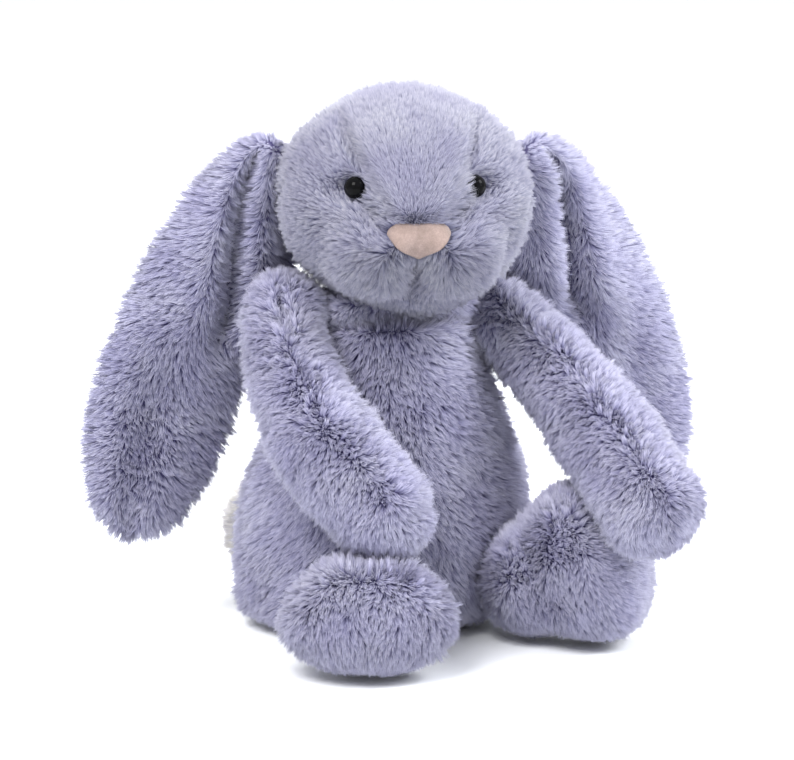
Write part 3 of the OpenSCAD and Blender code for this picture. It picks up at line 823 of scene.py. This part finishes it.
# The wadding fills the drawn-in head, and the eyes' washers lie behind its dimples
wadding_patch = Patch(head_shape, (-90, 270), (-WADDING_POLE, WADDING_POLE), (120, 70), -1)
wadding = skin("head_wadding", wadding_patch, WADDING_DROP, CAD_MATERIALS["stuffing"])
stand_for(wadding, "head_stuffing", "head")
for node in ("eye_washer_left", "eye_washer_right"):
    cad_piece = frame["nodes"][node]
    mesh = cad_piece.data.copy()
    inward = unit(HEAD_AT - middle_of(node)) * WASHER_SUNK * MM
    mesh.transform(Matrix.Translation(inward) @ cad_piece.matrix_world)
    washer = bpy.data.objects.new(node + "_sunk", mesh)
    bpy.context.scene.collection.objects.link(washer)
    stand_for(washer, node, "head")


def face_strip(sign):
    """The head's shape laid out so that s runs from the gusset seam out to the ear."""
    def shape(t, s):
        inner = gusset_edge(t) * fade(t, -10, -6)
        return head_shape(t, sign * (inner + (POLE - inner) * s))
    return shape


def gusset_strip(t, s):
    """The head's shape laid out so that s runs from one gusset seam to the other."""
    return head_shape(t, s * gusset_edge(t))


for node, shape, t_range, side_range, outward, coat, seed in (
    ("forehead_gusset", gusset_strip, (-8, CROWN_T), (-1, 1), -1, BROW_COAT, 31),
    ("face_left", face_strip(1), (-90, CROWN_T), (0, 1), -1, FACE_COAT, 32),
    ("face_right", face_strip(-1), (-90, CROWN_T), (0, 1), 1, FACE_COAT, 33),
    ("head_back_left", head_shape, (CROWN_T, 270), (0, POLE), -1, FACE_COAT, 34),
    ("head_back_right", head_shape, (CROWN_T, 270), (-POLE, 0), -1, FACE_COAT, 35),
):
    cover(
        node, "head", shape, t_range, side_range, outward, FACE_PILE, coat, from_nose, seed,
        (90, 90), face_trim,
    )


def nose_shape(across, up):
    """A padded patch on the muzzle: across -1 to 1, up from its point (-1) to its top edge (1)."""
    base = head_shape(NOSE_T + NOSE_DROP * up, across * np.degrees(nose_half(up) / (HEAD_RX + 3)))
    rim = np.clip((1 - np.abs(across)) * (1 - np.abs(up) ** 3) / 0.12, 0, 1)
    lift = 0.8 + 1.2 * np.sqrt(rim * (2 - rim)) + 0.5 * (1 - across ** 2) * (1 - up ** 2) - 0.8 * up
    ahead = unit(base - HEAD_AT)
    return base + ahead * lift[..., None]


nose = skin("nose", Patch(nose_shape, (-1, 1), (-1, 1), (40, 40), 1), 0, CAD_MATERIALS["suede"])
stand_for(nose, "nose_patch", "head")

# ---- ears ----
for ear, line, outward in (("ear_left", EAR_LEFT_LINE, 1), ("ear_right", EAR_RIGHT_LINE, -1)):
    shape = ear_shape(line, outward)
    backing(
        ear + "_backing", ear, shape, (0, 1), (0, 360), -outward, EAR_BACKING_DROP, BODY_BACKING, (80, 64)
    )
    for face, v_range, seed in (("_outer", (180, 360), 41 + outward), ("_inner", (0, 180), 46 + outward)):
        cover(
            ear + face, ear, shape, (0, 1), v_range, -outward, EAR_PILE_PAINTED_GLOW, COAT, ear_flow, seed, trim=ear_trim
        )

# ---- arms and legs ----
# Of each limb: middle line, half widths, half heights, length of the tip, place of a crease, depth of the
# sole's seam
LIMBS = {
    "arm_left": (ARM_LEFT_LINE, ARM_RADII, ARM_RADII, PAW_R - 3, None),
    "arm_right": (ARM_RIGHT_LINE, WIDE_ARM_RADII, ARM_RADII, PAW_R + 3, PAW_CREASE_AT),
    "leg_left": (LEG_LEFT_LINE, LEG_LEFT_WIDE, LEG_LEFT_TALL, FOOT_TIP, None, SOLE_SEAM),
    "leg_right": (LEG_RIGHT_LINE, LEG_WIDE, LEG_RIGHT_TALL, FOOT_TIP, None),
}
for number, (limb, measures) in enumerate(LIMBS.items()):
    shape = limb_shape(*measures)
    halves = ((-90, 90), (90, 270)) if limb.endswith("right") else ((90, 270), (-90, 90))
    flow = over_foot if limb.startswith("leg") else parted(0.7, 0.7)
    backing(limb + "_backing", limb, shape, (0, 3), (0, 360), 1, BACKING_DROP, BODY_BACKING, (90, 72))
    for half, v_range in zip(("_outer", "_inner"), halves):
        cover(
            limb + half, limb, shape, (0, 3), v_range, 1, BODY_PILE, LIMB_COAT, flow, 50 + 2 * number,
            (90, 60), pressed,
        )

# ---- camera, light and floor ----
CAMERA_AZIMUTH, CAMERA_ELEVATION, CAMERA_DISTANCE = -22, 9.5, 1.3
LOOK_AT = np.array([0.0, -28, 105]) * MM
PIXELS_PER_MM, FRAME_W, SENSOR_W = 2.5, 794, 36
SIDE_AIM, UP_AIM = -2.8, -0.8
FLOOR_HALF_W = 12000.0


def add_camera():
    """The camera, which looks at the toy from its right front and a little from above."""
    azimuth, elevation = math.radians(CAMERA_AZIMUTH), math.radians(CAMERA_ELEVATION)
    back = np.array([
        math.sin(azimuth) * math.cos(elevation), -math.cos(azimuth) * math.cos(elevation), math.sin(elevation)
    ])
    right = np.array([math.cos(azimuth), math.sin(azimuth), 0])
    up = np.cross(back, right)
    aim = LOOK_AT + right * SIDE_AIM * MM + up * UP_AIM * MM
    data = bpy.data.cameras.new("camera")
    data.lens = PIXELS_PER_MM * CAMERA_DISTANCE / MM / FRAME_W * SENSOR_W
    data.sensor_width = SENSOR_W
    data.clip_end = 20
    camera = bpy.data.objects.new("camera", data)
    turn = Matrix(np.stack([right, up, back], 1).tolist()).to_4x4()
    camera.matrix_world = Matrix.Translation(aim + back * CAMERA_DISTANCE) @ turn
    bpy.context.scene.collection.objects.link(camera)
    bpy.context.scene.camera = camera


def add_area(name, place, size, power, colour):
    """A soft square lamp that looks at the toy."""
    data = bpy.data.lights.new(name, "AREA")
    data.size = size
    data.energy = power
    data.color = colour
    lamp = bpy.data.objects.new(name, data)
    lamp.location = place
    aim = LOOK_AT - np.array(place)
    tilt = math.acos(-aim[2] / np.linalg.norm(aim))
    lamp.rotation_euler = (tilt, 0, math.atan2(aim[1], aim[0]) - math.pi / 2)
    bpy.context.scene.collection.objects.link(lamp)


def add_floor():
    """A wide pale floor at the height of the seat."""
    corners = FLOOR_HALF_W * np.array([[-1, -1, 0], [1, -1, 0], [1, 1, 0], [-1, 1, 0]])
    floor = make_mesh("floor", corners, np.array([[0, 1, 2, 3]]))
    material, shader, node, link = new_material("floor_white")
    shader.inputs["Base Color"].default_value = (0.93, 0.95, 0.98, 1)
    shader.inputs["Roughness"].default_value = 0.7
    floor.data.materials.append(material)


add_camera()
add_area("left_lamp", (-1.2, -1.0, 1.7), 1.0, 54, (1.0, 0.99, 0.98))
add_area("right_lamp", (1.4, -0.9, 1.5), 1.0, 46, (0.98, 0.99, 1.0))
add_area("back_lamp", (0.5, 1.4, 1.4), 1.2, 34, (1.0, 1.0, 1.0))
add_floor()
world = bpy.data.worlds.new("world")
world.use_nodes = True
background = world.node_tree.nodes["Background"]
background.inputs["Color"].default_value = (1.0, 1.0, 1.0, 1)
background.inputs["Strength"].default_value = 1.04
bpy.context.scene.world = world
bpy.context.scene.view_settings.view_transform = "Standard"
